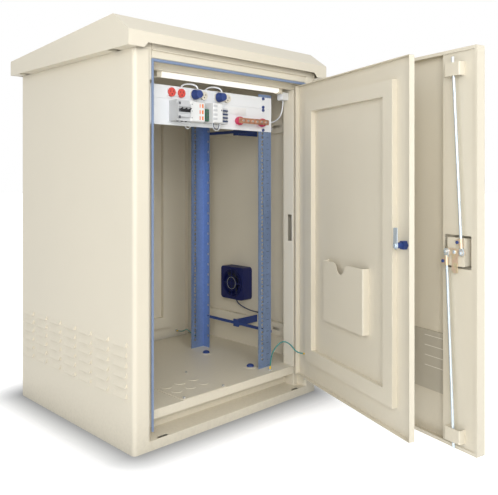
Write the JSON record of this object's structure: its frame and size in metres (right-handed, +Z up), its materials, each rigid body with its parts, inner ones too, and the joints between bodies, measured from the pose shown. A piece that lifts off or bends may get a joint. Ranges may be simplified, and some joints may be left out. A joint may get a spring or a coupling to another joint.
{
  "type": "roadside utility cabinet",
  "caption": "Floor-standing steel equipment cabinet with louvred sides, sloped roof cap, nested inner and outer front doors, rod lock, rack rails, power panel, lamp and fan.",
  "frame": {"origin": "middle of the four anchor holes, on the ground under the base", "axes": "+X right along the front, +Y to the back, +Z up"},
  "size_m": [0.932, 1.5698, 1.3469],
  "materials": {
    "cream_paint": "satin powder coat",
    "zinc": "zinc plated",
    "yellow_zinc": "yellow passivated zinc",
    "copper": "bare copper",
    "rubber": "matt",
    "seal_rubber": "matt",
    "white_plastic": "matt",
    "red_plastic": "gloss",
    "blue_plastic": "matt",
    "grey_plastic": "matt",
    "black_plastic": "matt",
    "lamp_white": "opal",
    "earth_green": "satin",
    "cable_white": "satin"
  },
  "bodies": {
    "cabinet": {"base_pan": "cream_paint", "left_side_panel": "cream_paint", "right_side_panel": "cream_paint", "left_post": "cream_paint", "right_post": "cream_paint", "lintel": "cream_paint", "top_plate": "cream_paint", "roof_cap": "cream_paint", "roof_supports": "cream_paint", "rear_panel": "cream_paint", "floor_tray": "cream_paint", "floor_plugs": "rubber", "gland_plate": "cream_paint", "front_left_rail": "zinc", "front_right_rail": "zinc", "rear_left_rail": "zinc", "rear_right_rail": "zinc", "side_bars": "cream_paint", "rail_ties": "zinc", "socket_panel": "cream_paint", "device_panel": "cream_paint", "red_socket": "red_plastic", "white_sockets": "white_plastic", "plugs": "blue_plastic", "left_plug_cord": "cable_white", "right_plug_cord": "cable_white", "breaker_body": "grey_plastic", "surge_arrester": "white_plastic", "relay_body": "grey_plastic", "terminal_block": "white_plastic", "earth_insulators": "red_plastic", "earth_bar": "copper", "screws": "zinc", "lamp_housing": "cream_paint", "lamp_tube": "lamp_white", "lamp_switch": "white_plastic", "lamp_cable": "cable_white", "fan_frame": "black_plastic", "fan_guard": "zinc", "fan_cable": "black_plastic", "door_seal": "seal_rubber", "hinge_leaves": "zinc", "door_strap": "earth_green", "rear_strap": "earth_green"},
    "outer_door": {"outer_door_pan": "cream_paint", "closing_stile": "cream_paint", "vent_mesh": "cream_paint", "lock_body": "zinc", "escutcheon": "black_plastic"},
    "lock": {"lock_cam": "yellow_zinc", "door_handle": "black_plastic"},
    "upper_rod": {"upper_rod": "zinc"},
    "lower_rod": {"lower_rod": "zinc"},
    "inner_door": {"inner_door_pan": "cream_paint", "inner_stiffener": "cream_paint", "document_pocket": "cream_paint", "latch_barrel_nut": "blue_plastic"},
    "latch": {"latch_lever": "zinc"},
    "fan": {"fan_rotor": "black_plastic"},
    "toggle": {"breaker_toggle": "black_plastic"}
  },
  "joints": [
    {"name": "outer_door_swing", "type": "hinge", "parent": "cabinet", "child": "outer_door", "pos_m": [0.398, -0.396, 0.6], "axis": [0, 0, 1], "range_deg": [-76.5, 30]},
    {"name": "inner_door_swing", "type": "hinge", "parent": "cabinet", "child": "inner_door", "pos_m": [0.354, -0.372, 0.6], "axis": [0, 0, 1], "range_deg": [-69.01, 27.1], "deforming": ["door_strap"]},
    {"name": "lock_turn", "type": "hinge", "parent": "outer_door", "child": "lock", "pos_m": [0.21043, -1.08732, 0.627], "axis": [-0.9724, 0.2334, 0], "range_deg": [0, 90]},
    {"name": "upper_rod_pivot", "type": "hinge", "parent": "lock", "child": "upper_rod", "pos_m": [0.2039, -1.11454, 0.627], "axis": [-0.9724, 0.2334, 0], "range_deg": [-94, 1]},
    {"name": "lower_rod_pivot", "type": "hinge", "parent": "lock", "child": "lower_rod", "pos_m": [0.21697, -1.06009, 0.627], "axis": [-0.9724, 0.2334, 0], "range_deg": [-94, 1]},
    {"name": "latch_turn", "type": "hinge", "parent": "inner_door", "child": "latch", "pos_m": [0.07238, -0.97728, 0.648], "axis": [0.9336, -0.3584, 0], "range_deg": [0, 90]},
    {"name": "fan_spin", "type": "hinge", "parent": "cabinet", "child": "fan", "pos_m": [0.4, 0.046, 0.381], "axis": [1, 0, 0], "continuous": true},
    {"name": "breaker_toggle_turn", "type": "hinge", "parent": "cabinet", "child": "toggle", "pos_m": [-0.194, -0.33, 1.071], "axis": [1, 0, 0], "range_deg": [0, 40]}
  ],
  "couplings": [
    {"joint": "inner_door_swing", "follows": "outer_door_swing", "ratio": 0.90196},
    {"joint": "upper_rod_pivot", "follows": "lock_turn", "ratio": -1.033},
    {"joint": "lower_rod_pivot", "follows": "lock_turn", "ratio": -1.0333}
  ]
}
